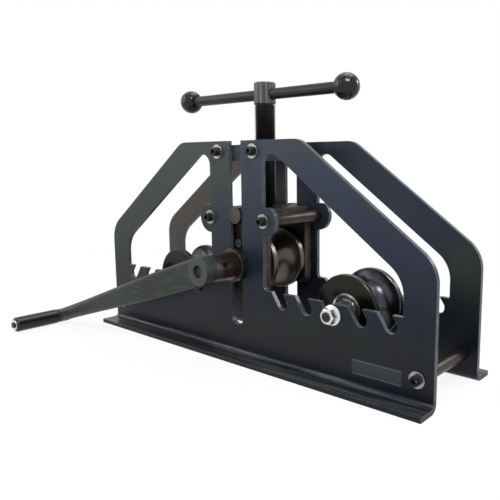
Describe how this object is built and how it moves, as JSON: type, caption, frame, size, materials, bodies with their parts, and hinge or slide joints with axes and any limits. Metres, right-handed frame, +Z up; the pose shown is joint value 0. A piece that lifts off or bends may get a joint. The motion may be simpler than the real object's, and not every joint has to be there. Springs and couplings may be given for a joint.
{
  "type": "ring roller",
  "caption": "Hand-cranked roller that bends tube into rings: notched side plates, grooved outer rollers, and a driven centre roller pressed down by a lead screw with a sliding tee bar.",
  "frame": {"origin": "floor point under the lead screw, midway between the side plates", "axes": "+X along the row of rollers, away from the resting crank; +Y from the crank's side to the back; +Z up"},
  "size_m": [0.5547, 0.2523, 0.3156],
  "materials": {
    "plate_paint": "semi-gloss paint",
    "painted_arm": "satin paint",
    "dark_steel": "satin black",
    "black_screws": "black oxide",
    "zinc": "bright zinc",
    "spacer_steel": "turned",
    "bearing_steel": "ground",
    "seal_rubber": "matt",
    "roller_steel": "turned, dark",
    "machined_steel": "milled, browned",
    "bronze": "turned",
    "hub_steel": "turned, dark",
    "screw_steel": "oiled thread",
    "knob_plastic": "gloss black",
    "grip_plastic": "gloss black"
  },
  "bodies": {
    "frame": {"front_side_plate": "plate_paint", "rear_side_plate": "plate_paint", "upper_left_tie_rod": "dark_steel", "upper_right_tie_rod": "dark_steel", "lower_left_tie_rod": "dark_steel", "lower_right_tie_rod": "dark_steel", "tie_rod_screws": "black_screws", "tie_rod_washers": "zinc", "nut_block": "dark_steel", "nut_block_screws": "black_screws", "nut_block_washers": "zinc", "left_axle": "zinc", "right_axle": "zinc", "left_axle_nuts": "zinc", "right_axle_nuts": "zinc", "left_axle_spacers": "spacer_steel", "right_axle_spacers": "spacer_steel", "left_bearing_inner_rings": "bearing_steel", "right_bearing_inner_rings": "bearing_steel"},
    "left_roller_set": {"left_roller": "roller_steel", "left_bearing_outer_rings": "bearing_steel", "left_bearing_seals": "seal_rubber"},
    "right_roller_set": {"right_roller": "roller_steel", "right_bearing_outer_rings": "bearing_steel", "right_bearing_seals": "seal_rubber"},
    "carriage": {"front_cheek": "machined_steel", "rear_cheek": "machined_steel", "carriage_top_plate": "machined_steel", "cheek_screws": "black_screws", "guide_pins": "machined_steel", "bush_oil_screws": "black_screws", "shaft_bushes": "bronze"},
    "crank": {"drive_shaft": "hub_steel", "roller_key": "hub_steel", "centre_roller": "roller_steel", "roller_side_washers": "spacer_steel", "shaft_thrust_washers": "hub_steel", "shaft_collars": "hub_steel", "collar_grub_screws": "black_screws", "crank_hub": "hub_steel", "hub_grub_screw": "black_screws", "hub_lock_bolt": "black_screws", "crank_arm": "painted_arm", "grip_stud": "hub_steel", "grip_end_washer": "zinc", "grip_end_screw": "black_screws"},
    "grip": {"crank_grip": "grip_plastic"},
    "screw": {"lead_screw": "screw_steel", "screw_foot_collar": "screw_steel", "foot_collar_pin": "screw_steel", "screw_head": "dark_steel"},
    "tee": {"tee_bar": "dark_steel", "left_ball_knob": "knob_plastic", "right_ball_knob": "knob_plastic"}
  },
  "joints": [
    {"name": "carriage_slide", "type": "slide", "parent": "frame", "child": "carriage", "axis": [0, 0, 1], "range_m": [-0.039, 0.037]},
    {"name": "screw_turn", "type": "hinge", "parent": "carriage", "child": "screw", "pos_m": [0, 0, 0.3], "axis": [0, 0, 1], "range_deg": [-4680, 4440]},
    {"name": "tee_bar_slide", "type": "slide", "parent": "screw", "child": "tee", "axis": [1, 0, 0], "range_m": [-0.089, 0.104]},
    {"name": "crank_spin", "type": "hinge", "parent": "carriage", "child": "crank", "pos_m": [0, 0, 0.108], "axis": [0, 1, 0], "continuous": true},
    {"name": "grip_spin", "type": "hinge", "parent": "crank", "child": "grip", "pos_m": [-0.29499, -0.15, 0.01044], "axis": [0, 1, 0], "continuous": true},
    {"name": "left_roller_spin", "type": "hinge", "parent": "frame", "child": "left_roller_set", "pos_m": [-0.1366, 0, 0.072], "axis": [0, 1, 0], "continuous": true},
    {"name": "right_roller_spin", "type": "hinge", "parent": "frame", "child": "right_roller_set", "pos_m": [0.1366, 0, 0.072], "axis": [0, 1, 0], "continuous": true}
  ],
  "couplings": [
    {"joint": "carriage_slide", "follows": "screw_turn", "m_per_rad": 0.00047746}
  ]
}
